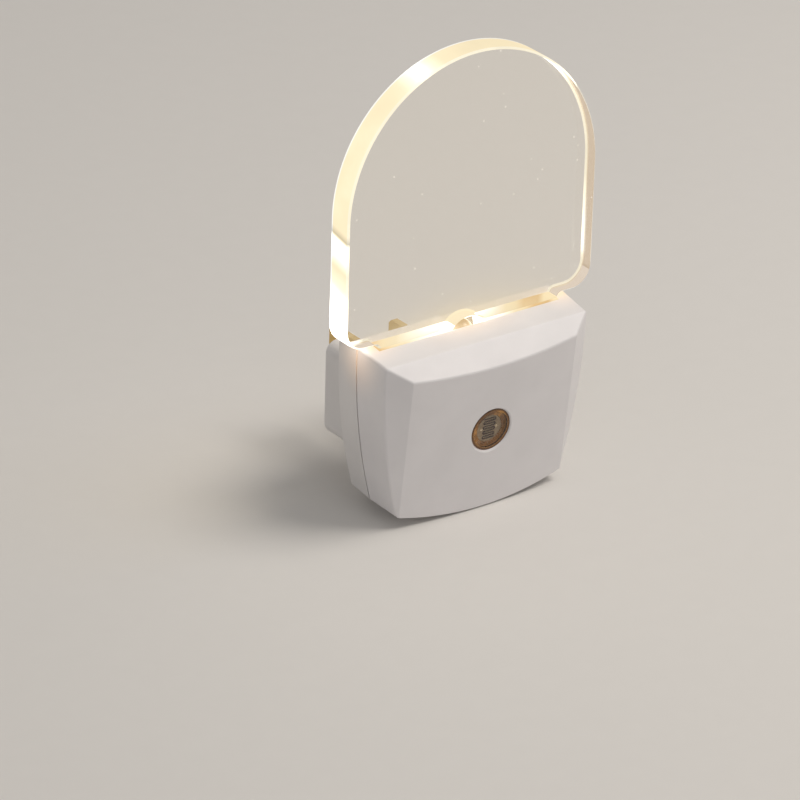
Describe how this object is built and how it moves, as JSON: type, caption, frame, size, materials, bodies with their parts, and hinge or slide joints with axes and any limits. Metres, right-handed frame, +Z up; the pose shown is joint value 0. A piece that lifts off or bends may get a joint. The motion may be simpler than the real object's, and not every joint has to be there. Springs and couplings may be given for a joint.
{
  "type": "plug-in night light",
  "caption": "Small housing that plugs straight into a wall outlet, with a light sensor in front and a clear arched panel above it that glows at its edges.",
  "frame": {"origin": "midway between the two blades, on the face of the plug block that meets the outlet", "axes": "+X to the right as seen from the room, +Y into the wall along the blades, +Z up along the panel"},
  "size_m": [0.0592, 0.0467, 0.094],
  "materials": {
    "cover_plastic": "satin white moulded ABS",
    "housing_plastic": "satin white moulded ABS",
    "clear_acrylic": "clear polished acrylic, edges lit warm from below",
    "window_plastic": "clear moulded polycarbonate",
    "cell_ceramic": "grey-brown metallised photocell face",
    "cell_track": "dark maroon track on the photocell",
    "sleeve_plastic": "amber moulded sleeve",
    "lamp_epoxy": "clear epoxy lens, lit warm white",
    "tinned_wire": "tinned copper wire",
    "holder_plastic": "black moulded nylon",
    "board_laminate": "tan phenolic paper laminate",
    "blade_brass": "stamped brass, bright",
    "carrier_plastic": "white moulded ABS",
    "film_casing": "yellow box casing",
    "can_sleeve": "black shrink sleeve",
    "diode_epoxy": "black epoxy",
    "zener_glass": "orange glass",
    "resistor_coating": "tan lacquer",
    "transistor_epoxy": "black epoxy",
    "solder": "bright solder",
    "screw_steel": "zinc-plated steel"
  },
  "bodies": {
    "root": {"front_cover": "cover_plastic", "rear_housing": "housing_plastic", "light_panel": "clear_acrylic", "sensor_window": "window_plastic", "photocell_body": "cell_ceramic", "photocell_track": "cell_track", "photocell_sleeve": "sleeve_plastic", "led_lens": "lamp_epoxy", "led_leads": "tinned_wire", "led_holder": "holder_plastic", "photocell_leads": "tinned_wire", "circuit_board": "board_laminate", "blade_line": "blade_brass", "blade_neutral": "blade_brass", "blade_carrier": "carrier_plastic", "film_capacitor": "film_casing", "smoothing_capacitor": "can_sleeve", "rectifier_diodes": "diode_epoxy", "zener_diode": "zener_glass", "resistors": "resistor_coating", "transistor": "transistor_epoxy", "solder_joints": "solder", "case_screws": "screw_steel"}
  },
  "joints": []
}
